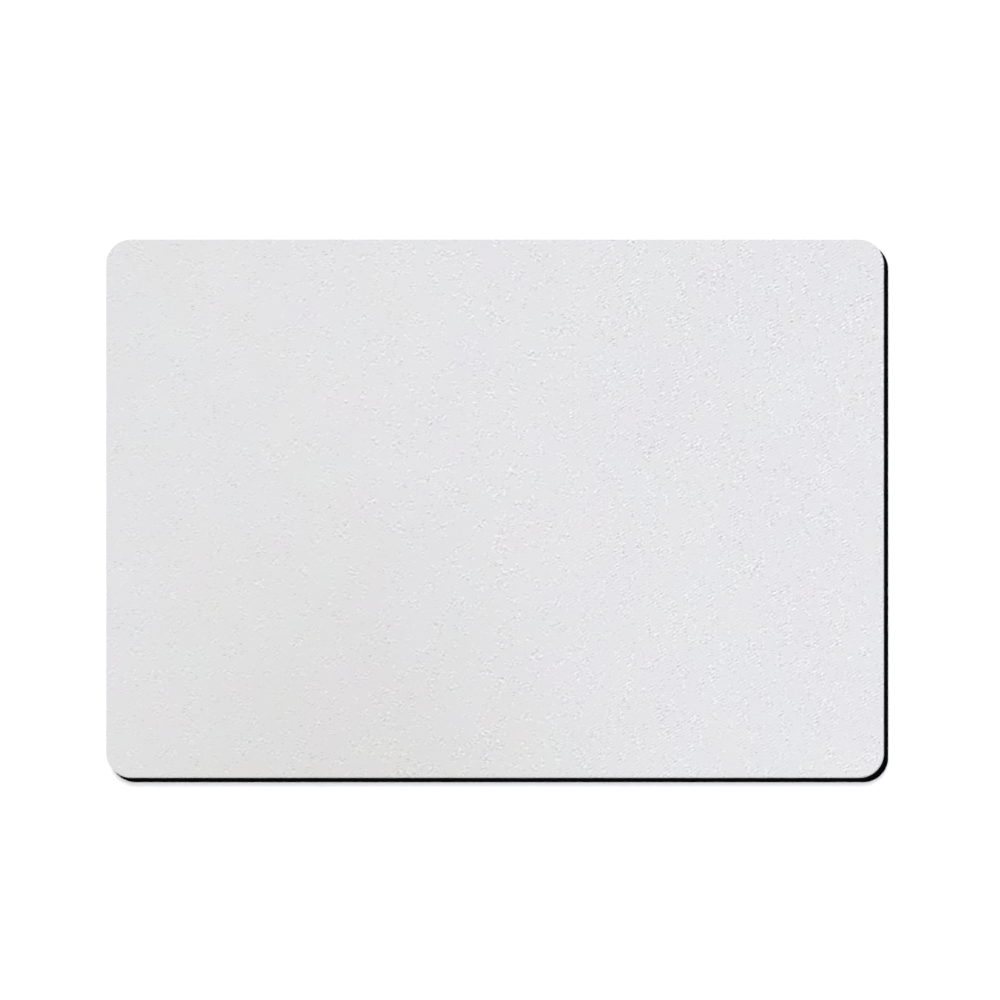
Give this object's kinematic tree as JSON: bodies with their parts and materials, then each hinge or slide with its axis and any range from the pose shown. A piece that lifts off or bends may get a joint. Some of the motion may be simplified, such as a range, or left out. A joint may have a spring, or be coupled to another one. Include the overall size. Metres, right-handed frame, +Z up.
{
  "type": "mouse pad",
  "caption": "Thin rectangular desk pad with rounded corners: white woven cloth bonded to a black foam rubber base that grips the desk.",
  "frame": {"origin": "centre of the underside, on the desk", "axes": "+X along the long side, to the right in the picture; +Y along the short side, to the picture's top; +Z up, out of the cloth"},
  "size_m": [0.26, 0.18, 0.003],
  "materials": {
    "foam_rubber": "matte",
    "adhesive": "satin",
    "cloth": "matte"
  },
  "bodies": {
    "root": {"foam_rubber_base": "foam_rubber", "adhesive_film": "adhesive", "cloth_top": "cloth"}
  },
  "joints": []
}
